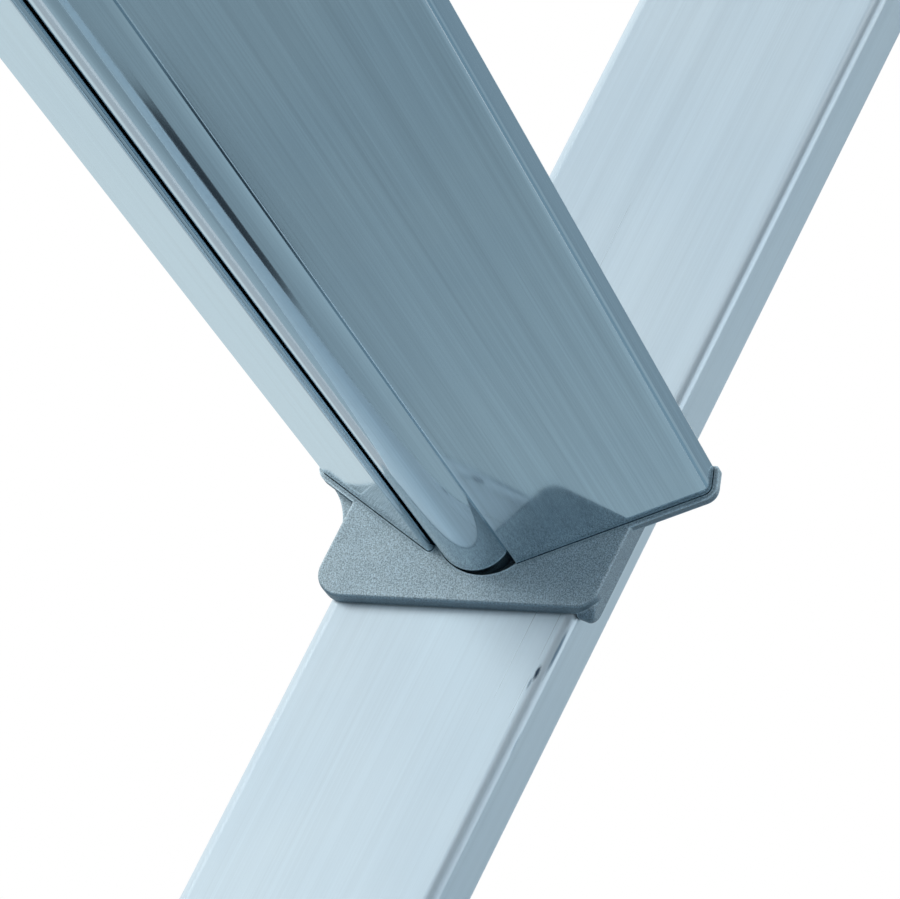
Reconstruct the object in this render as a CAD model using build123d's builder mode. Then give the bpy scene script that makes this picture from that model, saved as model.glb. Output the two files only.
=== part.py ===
from build123d import *

import os
from math import cos, radians, sin, sqrt, tan

# Aluminium platform stepladder, in millimetres.
# X is the ladder's width, Y runs from the climber's side to the rear, Z is up.
# The origin is on the floor, midway between the front and the rear feet.

# Stance
FRONT_LEAN = 71.0  # front stiles, degrees above the floor
REAR_LEAN = 68.0  # rear stiles, degrees above the floor
CLEAR_WIDTH = 420.0  # between the stiles' inner faces
RISE = 230.0  # from one standing surface to the next
TREAD_COUNT = 4
HINGE_ABOVE = 190.0  # rear pivot above the platform
PIVOT_OFFSET = 60.0  # rear pivot behind the middle line of the front stiles

# Box sections of the stiles
STILE_THICK = 20.0  # along X
STILE_WALL = 1.6
STILE_ROUND = 2.5
FRONT_DEPTH = 50.0
REAR_DEPTH = 40.0

# Tread section, seen along X, from the middle of the top face
TREAD_DEPTH = 82.0
FRONT_EDGE = 5.0  # height of the front face
REAR_EDGE = 5.7  # height of the rear face
REAR_ROUND = 2.2  # below the rear face
EDGE_ROUND = 0.8
STRIP_SLOPE = 33.0  # front underside, degrees
STRIP_ROUND = 1.0
SLIT_WIDTH = 0.9  # between the front underside's lower end and the bead
SLIT_HEIGHT = 6.2
SLIT_INSET = 0.75  # slit's rear wall, behind the bead's foremost line
BEAD_AHEAD = 5.75  # bead's centre, ahead of the middle
BEAD_RADIUS = 9.2
BEAD_DROP = 3.25  # bead's lowest line, below the front underside's lower end
PANEL_BEHIND = 8.4  # front edge of the rear underside, behind the bead's centre
PANEL_RISE = 2.3  # that edge, above the bead's lowest line
PANEL_GROOVE = 0.9  # groove between the bead and that edge
PANEL_ROUND = 0.4
TREAD_WALL = 1.6
TREAD_TOP = 2.6
GROOVE_PITCH = 7.0
GROOVE_WIDTH = 2.6
GROOVE_DEPTH = 0.8

# Tread bracket
PLATE_THICK = 4.0
PLATE_BELOW = 6.4  # plate's lower edge, below the bead
PLATE_ABOVE = 6.0  # plate's upper edge, above the tread
PLATE_ROUND = 5.0
PLATE_EDGE = 0.6
SEAT_DEPTH = 1.5  # recess in the plate that the tread's end sits in
SEAT_GAP = 0.1
FLANGE_THICK = 3.4
FLANGE_GAP = 0.1
FLANGE_REACH = 4.6  # over the stile's narrow faces
FLANGE_ROOT = 2.0  # within the plate's thickness
FLANGE_ROUND = 3.0
FLANGE_EDGE = 1.4
FLANGE_TAIL = 1.6  # rear flange, below the plate's corner
RIM = 1.1  # round the tread's end
RIM_THICK = 2.4  # from the plate's face; the web below the front rim has the rest
RIM_ROUND = 3.4
RIM_TOP_ROUND = 0.8
WEB_RISE = 12.3  # web's lower end, above the plate's lower edge
NOTCH_GROW = 1.6  # notch's radius, beyond the bead's
NOTCH_BEHIND = 1.0  # notch's centre, behind the bead's
NOTCH_ABOVE = 1.1  # notch's centre, above the bead's
NOTCH_START = 50.0  # notch's front end, degrees from its lowest point
SPIGOT_LENGTH = 16.0
SPIGOT_WALL = 1.8
SPIGOT_GAP = 0.2
BRACKET_RIVET_BEHIND = 12.0  # rear rivet, behind the tread's middle
BRACKET_RIVET_DROP = 8.6  # below the tread's top

# Rivets
RIVET_RADIUS = 2.5
RIVET_GAP = 0.05
RIVET_HEAD_RADIUS = 5.0
RIVET_HEAD_HEIGHT = 2.2
RIVET_TAIL_RADIUS = 3.7
RIVET_TAIL_HEIGHT = 2.0
RIVET_TAIL_END = 3.0  # radius of the tail's end face

# Feet
FOOT_LENGTH = 60.0  # on the floor, along Y
FOOT_WALL = 4.0
FOOT_SEAT = 20.0  # stile's end, along the stile from the floor
FOOT_HEIGHT = 62.0  # top of the shoe, along the stile from the floor
FOOT_GAP = 0.2
FOOT_ROUND = 2.0
SOLE_GROOVES = 5
SOLE_GROOVE_WIDTH = 3.0
SOLE_GROOVE_DEPTH = 2.0
FOOT_RIVET_ALONG = 46.0

# Hinge heads
HEAD_SEAT = 22.0  # stile's end, below the pivot along the stile
HEAD_WIDTH = 30.0  # along X
HEAD_WALL = 3.0  # round the front stile's section
HEAD_HEIGHT = 62.0
HEAD_ROUND = 5.0
HEAD_FOOT_ROUND = 0.5
ARM_RADIUS = 15.0
TONGUE_THICK = 13.6
TONGUE_RADIUS = 14.0
TONGUE_GAP = 0.3  # on each side of the tongue
SLOT_GAP = 1.5  # between the tongue and the slot's end
PLUG_LENGTH = 45.0
PLUG_GAP = 0.15
SHOULDER_DROP = 22.0  # rear head's shoulder, below the pivot
SHOULDER_HEIGHT = 12.0
SHOULDER_WALL = 2.0
SHOULDER_TAPER = 8.0
HEAD_RIVET_PITCH = 18.0
HINGE_PIN_RADIUS = 5.0
HINGE_PIN_HEAD = 9.0
HINGE_PIN_HEAD_HEIGHT = 3.5
PIN_HEAD_TAPER = 30.0
BUSH_WALL = 2.0
RUN_GAP = 0.05  # radial running clearance of the pins

# Tubes
TUBE_RADIUS = 12.5
TUBE_WALL = 1.5
TUBE_GAP = 0.1
COLLAR_RADIUS = 15.0
COLLAR_THICK = 2.5
UPPER_TUBE_HEIGHT = 720.0
LOWER_TUBE_HEIGHT = 270.0
HOOP_RADIUS = 11.0
HOOP_WALL = 1.5
HOOP_GAP = 0.1
HOOP_SOCKET = 40.0
HOOP_ABOVE = 600.0  # hoop's top above the platform
HOOP_BEND = 85.0

# Platform
DECK_FRONT = 41.0  # front edge ahead of the pivot
DECK_THICK = 18.0
DECK_EDGE = 5.0
DECK_CHAMFER = 22.0
DECK_TAIL = 10.0
DECK_WALL = 2.0
DECK_TOP = 2.6
DECK_ROUND = 1.5
DECK_SIDE_GAP = 7.0  # between the cheeks and the stiles
DECK_GROOVE_PITCH = 9.0
DECK_SCREW_COUNT = 3
DECK_PORT_RADIUS = 4.0
CHEEK_THICK = 6.0
CHEEK_RIM = 1.0
CHEEK_PIVOT_DROP = 27.0  # pivot below the platform's top
CHEEK_BOSS = 14.0
CHEEK_GUSSET_FRONT = 28.0  # the boss's gusset, ahead of the pivot
CHEEK_GUSSET_REAR = 42.0
PLATFORM_PIN_RADIUS = 5.0
PLATFORM_PIN_TAIL = 7.0
PLATFORM_PIN_TAIL_HEIGHT = 3.0
BUSH_COLLAR = 10.0
COLLAR_GAP = 0.3
HOOK_WIDTH = 26.0
HOOK_INSET = 34.0  # hook's middle, from the deck's end
HOOK_SADDLE = 2.0
HOOK_GAP = 0.3
HOOK_LIP = 6.0
HOOK_DROP = 5.0  # lip's end, below the tube's middle
HOOK_PAD = 28.0  # pad's front end, ahead of the tube
HOOK_DETENT = 18.0  # degrees of the tube's front that the saddle covers
SCREW_RADIUS = 2.0
SCREW_HEAD = 4.0
SCREW_HEAD_HEIGHT = 2.2
SCREW_HEAD_TAPER = 20.0
SCREW_LENGTH = 22.0
HOOK_SCREW_LENGTH = 8.0

# Derived places
FRONT_SIN, FRONT_COS = sin(radians(FRONT_LEAN)), cos(radians(FRONT_LEAN))
REAR_SIN, REAR_COS = sin(radians(REAR_LEAN)), cos(radians(REAR_LEAN))
FRONT_UP, FRONT_BACK = Vector(0, FRONT_COS, FRONT_SIN), Vector(0, FRONT_SIN, -FRONT_COS)
REAR_UP, REAR_BACK = Vector(0, -REAR_COS, REAR_SIN), Vector(0, REAR_SIN, REAR_COS)
PLATFORM_HEIGHT = RISE * (TREAD_COUNT + 1)
HINGE_HEIGHT = PLATFORM_HEIGHT + HINGE_ABOVE
SPREAD = HINGE_HEIGHT * (FRONT_COS / FRONT_SIN + REAR_COS / REAR_SIN) + PIVOT_OFFSET / FRONT_SIN
FRONT_FLOOR = Vector(0, -SPREAD / 2, 0)
REAR_FLOOR = Vector(0, SPREAD / 2, 0)
REAR_LENGTH = HINGE_HEIGHT / REAR_SIN
HINGE = REAR_FLOOR + REAR_UP * REAR_LENGTH
HINGE_ALONG = (HINGE_HEIGHT + PIVOT_OFFSET * FRONT_COS) / FRONT_SIN
STILE_TOP = HINGE_ALONG - HEAD_SEAT
INNER = CLEAR_WIDTH / 2
OUTER = INNER + STILE_THICK
MIDDLE = INNER + STILE_THICK / 2
SIDES = (("left", -1), ("right", 1))


def front_point(height):
    """Point on the middle line of the front stiles, at a height."""
    return FRONT_FLOOR + FRONT_UP * (height / FRONT_SIN)


def rear_point(height):
    """Point on the middle line of the rear stiles, at a height."""
    return REAR_FLOOR + REAR_UP * (height / REAR_SIN)


def front_section(x, along):
    """Plane square across a front stile, its Y pointing to the rear."""
    return Plane(FRONT_FLOOR + FRONT_UP * along + Vector(x, 0, 0), (1, 0, 0), FRONT_UP)


def rear_section(x, along):
    """Plane square across a rear stile, its Y pointing to the rear."""
    return Plane(REAR_FLOOR + REAR_UP * along + Vector(x, 0, 0), (1, 0, 0), REAR_UP)


def front_side(x, along):
    """Side view along a front stile: X of the plane to the rear, Y up the stile."""
    return Plane(FRONT_FLOOR + FRONT_UP * along + Vector(x, 0, 0), FRONT_BACK, (1, 0, 0))


def rear_side(x, along):
    """Side view along a rear stile: X of the plane to the rear, Y up the stile."""
    return Plane(REAR_FLOOR + REAR_UP * along + Vector(x, 0, 0), REAR_BACK, (1, 0, 0))


def level_side(x, point):
    """Side view in upright axes at a point: X of the plane to the rear, Y up."""
    return Plane((x, point.Y, point.Z), (0, 1, 0), (1, 0, 0))


def tread_middle(level):
    """Middle of a tread's top face, on the middle line of the stiles."""
    return front_point(RISE * level)


def save(part, name):
    """Label a finished piece and write it to its own file."""
    part.label = name
    export_step(part, f"parts/{name}.step")


os.makedirs("parts", exist_ok=True)

# Tread section: outline and hollow chambers
slit_rear = -BEAD_AHEAD - BEAD_RADIUS + SLIT_INSET
strip_end = slit_rear - SLIT_WIDTH
strip_tan = tan(radians(STRIP_SLOPE))
strip_low = -FRONT_EDGE - (TREAD_DEPTH / 2 + strip_end) * strip_tan
slit_top = strip_low + SLIT_HEIGHT
bead_bottom = strip_low - BEAD_DROP
bead_height = bead_bottom + BEAD_RADIUS
panel_front = PANEL_BEHIND - BEAD_AHEAD
panel_low = bead_bottom + PANEL_RISE
panel_tan = (-REAR_EDGE - panel_low) / (TREAD_DEPTH / 2 - panel_front)


def bead_under(y, radius):
    """Height of a circle about the bead's centre, below that centre."""
    return bead_height - sqrt(radius**2 - (y + BEAD_AHEAD) ** 2)


def strip_over(y):
    """Height of the inner face of the front underside."""
    wall = TREAD_WALL * sqrt(1 + strip_tan**2)
    return -FRONT_EDGE - (y + TREAD_DEPTH / 2) * strip_tan + wall


def panel_over(y):
    """Height of the inner face of the rear underside."""
    wall = TREAD_WALL * sqrt(1 + panel_tan**2)
    return panel_low + (y - panel_front) * panel_tan + wall


groove = panel_front - PANEL_GROOVE
with BuildSketch() as tread_outline:
    with BuildLine():
        skin = FilletPolyline(
            (groove, bead_under(groove, BEAD_RADIUS)),
            (panel_front, panel_low),
            (TREAD_DEPTH / 2, -REAR_EDGE),
            (TREAD_DEPTH / 2, 0),
            (-TREAD_DEPTH / 2, 0),
            (-TREAD_DEPTH / 2, -FRONT_EDGE),
            (strip_end, strip_low),
            (strip_end, slit_top),
            (slit_rear, slit_top),
            (slit_rear, bead_under(slit_rear, BEAD_RADIUS)),
            radius=(PANEL_ROUND, REAR_ROUND, EDGE_ROUND, EDGE_ROUND, EDGE_ROUND, STRIP_ROUND, 0, 0),
        )
        ThreePointArc(skin @ 1, (-BEAD_AHEAD, bead_bottom), skin @ 0)
    make_face()

front_inside = -TREAD_DEPTH / 2 + TREAD_WALL
front_web = strip_end - TREAD_WALL
rear_inside = TREAD_DEPTH / 2 - TREAD_WALL
rear_web = panel_front + TREAD_WALL
with BuildSketch() as front_chamber:
    Polygon(
        (front_inside, -TREAD_TOP),
        (front_inside, strip_over(front_inside)),
        (front_web, strip_over(front_web)),
        (front_web, -TREAD_TOP),
        align=None,
    )
with BuildSketch() as rear_chamber:
    Polygon(
        (rear_web, -TREAD_TOP),
        (rear_web, panel_over(rear_web)),
        (rear_inside, panel_over(rear_inside)),
        (rear_inside, -TREAD_TOP),
        align=None,
    )
with BuildSketch() as bead_chamber:
    with BuildLine():
        bead_inside = BEAD_RADIUS - TREAD_WALL
        bead_front = slit_rear + TREAD_WALL
        bead_rear = -BEAD_AHEAD + bead_inside - TREAD_WALL / 2
        sides = Polyline(
            (bead_rear, bead_under(bead_rear, bead_inside)),
            (bead_rear, -TREAD_TOP),
            (bead_front, -TREAD_TOP),
            (bead_front, bead_under(bead_front, bead_inside)),
        )
        ThreePointArc(sides @ 1, (-BEAD_AHEAD, bead_bottom + TREAD_WALL), sides @ 0)
    make_face()

# Treads
seat = INNER - PLATE_THICK + SEAT_DEPTH
groove_count = int((TREAD_DEPTH - 2 * EDGE_ROUND - GROOVE_WIDTH) / GROOVE_PITCH)
for level in range(1, TREAD_COUNT + 1):
    with BuildPart() as tread:
        with BuildSketch(level_side(-seat, tread_middle(level))):
            add(tread_outline.sketch)
            for chamber in (front_chamber, bead_chamber, rear_chamber):
                add(chamber.sketch, mode=Mode.SUBTRACT)
            with GridLocations(GROOVE_PITCH, 0, groove_count, 1):
                Rectangle(GROOVE_WIDTH, 2 * GROOVE_DEPTH, mode=Mode.SUBTRACT)
        extrude(amount=2 * seat)
    save(tread.part, f"tread_{level}")

# Bracket outline: a plate along the stile and a rim round the tread's end
plate_low = bead_bottom - PLATE_BELOW
plate_half = FRONT_DEPTH / 2 + FLANGE_GAP + FLANGE_THICK


def along_stile(across, height):
    """Y of a line that runs along the stile, from the tread's middle."""
    return (height * FRONT_COS + across) / FRONT_SIN


def up_stile(across, height):
    """Distance up the stile from the tread's middle, at a height."""
    return (height + across * FRONT_COS) / FRONT_SIN


with BuildSketch() as bracket_plate:
    with BuildLine():
        FilletPolyline(
            (along_stile(-plate_half, plate_low), plate_low),
            (along_stile(plate_half, plate_low), plate_low),
            (along_stile(plate_half, PLATE_ABOVE), PLATE_ABOVE),
            (along_stile(-plate_half, PLATE_ABOVE), PLATE_ABOVE),
            radius=PLATE_ROUND,
            close=True,
        )
    make_face()

with BuildSketch() as bracket_rim:
    Polygon(
        (-TREAD_DEPTH / 2, 0),
        (-TREAD_DEPTH / 2, -FRONT_EDGE),
        (strip_end, strip_low),
        (panel_front, panel_low),
        (TREAD_DEPTH / 2, -REAR_EDGE),
        (TREAD_DEPTH / 2, 0),
        align=None,
    )
    offset(amount=RIM, kind=Kind.INTERSECTION)
    with Locations((0, TREAD_DEPTH / 2)):
        Rectangle(2 * TREAD_DEPTH, TREAD_DEPTH, mode=Mode.SUBTRACT)
    for corner, rounding in ((0, RIM_ROUND), (-1, RIM_TOP_ROUND)):
        columns = bracket_rim.vertices().group_by(Axis.X)
        fillet([columns[end].sort_by(Axis.Y)[corner] for end in (0, -1)], rounding)

# Thin web in the concave corner below the front rim
web_low = plate_low + WEB_RISE
with BuildSketch() as bracket_web:
    with BuildLine():
        web_edge = TangentArc(
            (along_stile(-plate_half, web_low), web_low),
            (-TREAD_DEPTH / 2 - RIM, -FRONT_EDGE),
            tangent=(FRONT_COS, FRONT_SIN),
        )
        Polyline(web_edge @ 1, (-TREAD_DEPTH / 2, 0), (strip_end, strip_low), web_edge @ 0)
    make_face()

# Notch in the plate, round the bead and up to the edge of the rear underside
notch_radius = BEAD_RADIUS + NOTCH_GROW
notch_middle = NOTCH_BEHIND - BEAD_AHEAD
notch_height = bead_height + NOTCH_ABOVE
notch_start = radians(NOTCH_START)
notch_end = notch_height - sqrt(notch_radius**2 - (panel_front - notch_middle) ** 2)
with BuildSketch() as bead_notch:
    with BuildLine():
        notch_edge = ThreePointArc(
            (notch_middle - notch_radius * sin(notch_start), notch_height - notch_radius * cos(notch_start)),
            (notch_middle, notch_height - notch_radius),
            (panel_front, notch_end),
        )
        Polyline(notch_edge @ 1, (groove, bead_under(groove, BEAD_RADIUS)), notch_edge @ 0)
    make_face()

# Recess for the tread's end
with BuildSketch() as tread_seat:
    add(tread_outline.sketch)
    with Locations((strip_end, slit_top)):
        slit_depth = slit_top - bead_under(slit_rear, BEAD_RADIUS)
        Rectangle(SLIT_WIDTH, slit_depth, align=(Align.MIN, Align.MAX))
    offset(amount=SEAT_GAP, kind=Kind.INTERSECTION)

bracket_rivets = ((-BEAD_AHEAD, -BRACKET_RIVET_DROP), (BRACKET_RIVET_BEHIND, -BRACKET_RIVET_DROP))

# Tread brackets
for tag, side in SIDES:
    for level in range(1, TREAD_COUNT + 1):
        middle = tread_middle(level)
        with BuildPart() as bracket:
            with BuildSketch(level_side(side * INNER, middle)):
                add(bracket_plate.sketch)
            extrude(amount=-side * PLATE_THICK)
            plate_face = bracket.faces().sort_by(Axis.X, reverse=side < 0)[0]
            fillet(plate_face.edges(), PLATE_EDGE)
            with BuildSketch(level_side(side * (INNER - PLATE_THICK), middle)):
                add(bracket_rim.sketch)
            extrude(amount=side * RIM_THICK)
            with BuildSketch(level_side(side * INNER, middle)):
                add(bracket_web.sketch)
            extrude(amount=-side * (PLATE_THICK - RIM_THICK))
            with BuildSketch(level_side(side * INNER, middle)):
                add(bead_notch.sketch)
                with Locations(*bracket_rivets):
                    Circle(RIVET_RADIUS + RIVET_GAP)
            extrude(amount=-side * PLATE_THICK, mode=Mode.SUBTRACT)
            with BuildSketch(level_side(side * (INNER - PLATE_THICK), middle)):
                add(tread_seat.sketch)
            extrude(amount=side * SEAT_DEPTH, mode=Mode.SUBTRACT)
            for end, low_extra in ((-1, PLATE_ROUND), (1, -FLANGE_TAIL)):
                top = up_stile(end * plate_half, PLATE_ABOVE)
                low = up_stile(end * plate_half, plate_low) + low_extra
                base = middle + FRONT_BACK * (end * plate_half) + FRONT_UP * ((top + low) / 2)
                x = side * (INNER + (FLANGE_REACH - FLANGE_ROOT) / 2)
                with BuildPart() as flange:
                    with BuildSketch(Plane(base + Vector(x, 0, 0), (1, 0, 0), FRONT_BACK)):
                        RectangleRounded(FLANGE_REACH + FLANGE_ROOT, top - low, FLANGE_ROUND)
                    extrude(amount=-end * FLANGE_THICK)
                    outer_face = flange.faces().sort_by(Axis((0, 0, 0), FRONT_BACK * end))[-1]
                    fillet(outer_face.edges(), FLANGE_EDGE)
            for chamber in (front_chamber, rear_chamber):
                with BuildSketch(level_side(side * seat, middle)):
                    add(chamber.sketch)
                    offset(amount=-SPIGOT_GAP, kind=Kind.INTERSECTION)
                    offset(amount=-SPIGOT_WALL, kind=Kind.INTERSECTION, mode=Mode.SUBTRACT)
                extrude(amount=-side * SPIGOT_LENGTH)
        save(bracket.part, f"tread_bracket_{tag}_{level}")


def rivet_section(grip):
    """Half section of a rivet: domed head ahead of zero, tail past the grip."""
    sphere = (RIVET_HEAD_RADIUS**2 + RIVET_HEAD_HEIGHT**2) / (2 * RIVET_HEAD_HEIGHT)
    halfway = RIVET_HEAD_RADIUS / 2
    with BuildSketch() as section:
        with BuildLine():
            dome = ThreePointArc(
                (-RIVET_HEAD_HEIGHT, 0),
                (sphere - RIVET_HEAD_HEIGHT - sqrt(sphere**2 - halfway**2), halfway),
                (0, RIVET_HEAD_RADIUS),
            )
            Polyline(
                dome @ 1,
                (0, RIVET_RADIUS),
                (grip, RIVET_RADIUS),
                (grip, RIVET_TAIL_RADIUS),
                (grip + RIVET_TAIL_HEIGHT, RIVET_TAIL_END),
                (grip + RIVET_TAIL_HEIGHT, 0),
                dome @ 0,
            )
        make_face()
    return section.sketch


def across_plane(x, point, side):
    """Plane whose X runs along the ladder's width, inwards from one side."""
    return Plane((x, point.Y, point.Z), (-side, 0, 0), (0, 0, 1))


# Rivets of the tread brackets, through the stile and the bracket's plate
for tag, side in SIDES:
    with BuildPart() as tread_rivets:
        for level in range(1, TREAD_COUNT + 1):
            for back, up in bracket_rivets:
                place = across_plane(side * OUTER, tread_middle(level) + Vector(0, back, up), side)
                with BuildSketch(place):
                    add(rivet_section(OUTER - seat))
                revolve(axis=Axis(place.origin, place.x_dir))
    save(tread_rivets.part, f"tread_rivets_{tag}")

# Places along the stiles that the fasteners share
platform_pivot = front_point(PLATFORM_HEIGHT - CHEEK_PIVOT_DROP)
front_head_rivets = [
    FRONT_FLOOR + FRONT_UP * (STILE_TOP - PLUG_LENGTH / 2 + step * HEAD_RIVET_PITCH)
    for step in (-0.5, 0.5)
]
rear_top = REAR_LENGTH - SHOULDER_DROP - SHOULDER_HEIGHT
rear_head_rivets = [
    REAR_FLOOR + REAR_UP * (rear_top - PLUG_LENGTH / 2 + step * HEAD_RIVET_PITCH) for step in (-0.5, 0.5)
]
front_foot_rivet = FRONT_FLOOR + FRONT_UP * FOOT_RIVET_ALONG
rear_foot_rivet = REAR_FLOOR + REAR_UP * FOOT_RIVET_ALONG
rest_height = PLATFORM_HEIGHT - DECK_THICK - HOOK_SADDLE - HOOK_GAP - TUBE_RADIUS
tubes = {
    "platform_rest_tube": rear_point(rest_height),
    "rear_cross_tube_upper": rear_point(UPPER_TUBE_HEIGHT),
    "rear_cross_tube_lower": rear_point(LOWER_TUBE_HEIGHT),
}

# Front stiles
for tag, side in SIDES:
    rivet_holes = [front_foot_rivet, *front_head_rivets]
    for level in range(1, TREAD_COUNT + 1):
        rivet_holes += [tread_middle(level) + Vector(0, back, up) for back, up in bracket_rivets]
    with BuildPart() as front_stile:
        with BuildSketch(front_section(side * MIDDLE, FOOT_SEAT)):
            RectangleRounded(STILE_THICK, FRONT_DEPTH, STILE_ROUND)
            RectangleRounded(
                STILE_THICK - 2 * STILE_WALL,
                FRONT_DEPTH - 2 * STILE_WALL,
                STILE_ROUND - STILE_WALL,
                mode=Mode.SUBTRACT,
            )
        extrude(amount=STILE_TOP - FOOT_SEAT)
        with BuildSketch(Plane.YZ.offset(side * INNER)):
            with Locations(*[(point.Y, point.Z) for point in rivet_holes]):
                Circle(RIVET_RADIUS + RIVET_GAP)
            with Locations((platform_pivot.Y, platform_pivot.Z)):
                Circle(PLATFORM_PIN_RADIUS + RIVET_GAP)
        extrude(amount=side * STILE_THICK, mode=Mode.SUBTRACT)
    save(front_stile.part, f"front_stile_{tag}")

# Rear stiles
for tag, side in SIDES:
    rivet_holes = [rear_foot_rivet, *rear_head_rivets]
    with BuildPart() as rear_stile:
        with BuildSketch(rear_section(side * MIDDLE, FOOT_SEAT)):
            RectangleRounded(STILE_THICK, REAR_DEPTH, STILE_ROUND)
            RectangleRounded(
                STILE_THICK - 2 * STILE_WALL,
                REAR_DEPTH - 2 * STILE_WALL,
                STILE_ROUND - STILE_WALL,
                mode=Mode.SUBTRACT,
            )
        extrude(amount=rear_top - FOOT_SEAT)
        with BuildSketch(Plane.YZ.offset(side * INNER)):
            with Locations(*[(point.Y, point.Z) for point in rivet_holes]):
                Circle(RIVET_RADIUS + RIVET_GAP)
            with Locations(*[(point.Y, point.Z) for point in tubes.values()]):
                Circle(TUBE_RADIUS + TUBE_GAP)
        extrude(amount=side * STILE_THICK, mode=Mode.SUBTRACT)
    save(rear_stile.part, f"rear_stile_{tag}")

# Cross tubes through the rear stiles
tube_end = OUTER + COLLAR_THICK
for name, point in tubes.items():
    with BuildPart() as cross_tube:
        with BuildSketch(level_side(-tube_end, point)):
            Circle(TUBE_RADIUS)
            Circle(TUBE_RADIUS - TUBE_WALL, mode=Mode.SUBTRACT)
        extrude(amount=2 * tube_end)
    save(cross_tube.part, name)

# Collars on the tubes, against both faces of the rear stiles
with BuildPart() as tube_collars:
    for point in tubes.values():
        for face in (-tube_end, -INNER, INNER - COLLAR_THICK, OUTER):
            with BuildSketch(level_side(face, point)):
                Circle(COLLAR_RADIUS)
                Circle(TUBE_RADIUS + TUBE_GAP, mode=Mode.SUBTRACT)
            extrude(amount=COLLAR_THICK)
save(tube_collars.part, "cross_tube_collars")

# Feet: shoes over the stile ends, level on the floor
shoe_half = STILE_THICK / 2 + FOOT_GAP + FOOT_WALL
for frame, floor, up, back, depth, section, rivet in (
    ("front", FRONT_FLOOR, FRONT_UP, FRONT_BACK, FRONT_DEPTH, front_section, front_foot_rivet),
    ("rear", REAR_FLOOR, REAR_UP, REAR_BACK, REAR_DEPTH, rear_section, rear_foot_rivet),
):
    shoe = depth / 2 + FOOT_GAP + FOOT_WALL
    top_front = up * FOOT_HEIGHT - back * shoe
    top_rear = up * FOOT_HEIGHT + back * shoe
    for tag, side in SIDES:
        with BuildPart() as foot:
            with BuildSketch(level_side(side * MIDDLE, floor)):
                with BuildLine():
                    FilletPolyline(
                        (-FOOT_LENGTH / 2, 0),
                        (FOOT_LENGTH / 2, 0),
                        (top_rear.Y, top_rear.Z),
                        (top_front.Y, top_front.Z),
                        radius=FOOT_ROUND,
                        close=True,
                    )
                make_face()
                with GridLocations(FOOT_LENGTH / SOLE_GROOVES, 0, SOLE_GROOVES - 1, 1):
                    Rectangle(SOLE_GROOVE_WIDTH, 2 * SOLE_GROOVE_DEPTH, mode=Mode.SUBTRACT)
            extrude(amount=shoe_half, both=True)
            with BuildSketch(section(side * MIDDLE, FOOT_SEAT)):
                RectangleRounded(STILE_THICK + 2 * FOOT_GAP, depth + 2 * FOOT_GAP, STILE_ROUND)
            extrude(amount=FOOT_HEIGHT, mode=Mode.SUBTRACT)
            with BuildSketch(level_side(side * MIDDLE, rivet)):
                Circle(RIVET_RADIUS + RIVET_GAP)
            extrude(amount=shoe_half, both=True, mode=Mode.SUBTRACT)
        save(foot.part, f"{frame}_foot_{tag}")

# Rivets of the feet and of the heads, through the stiles from the outer side
for name, points, outer, grip in (
    ("foot_rivets_front", [front_foot_rivet], MIDDLE + shoe_half, 2 * shoe_half),
    ("foot_rivets_rear", [rear_foot_rivet], MIDDLE + shoe_half, 2 * shoe_half),
    ("head_rivets_front", front_head_rivets, OUTER, STILE_THICK),
    ("head_rivets_rear", rear_head_rivets, OUTER, STILE_THICK),
):
    with BuildPart() as rivets:
        for tag, side in SIDES:
            for point in points:
                place = across_plane(side * outer, point, side)
                with BuildSketch(place):
                    add(rivet_section(grip))
                revolve(axis=Axis(place.origin, place.x_dir))
    save(rivets.part, name)

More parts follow.
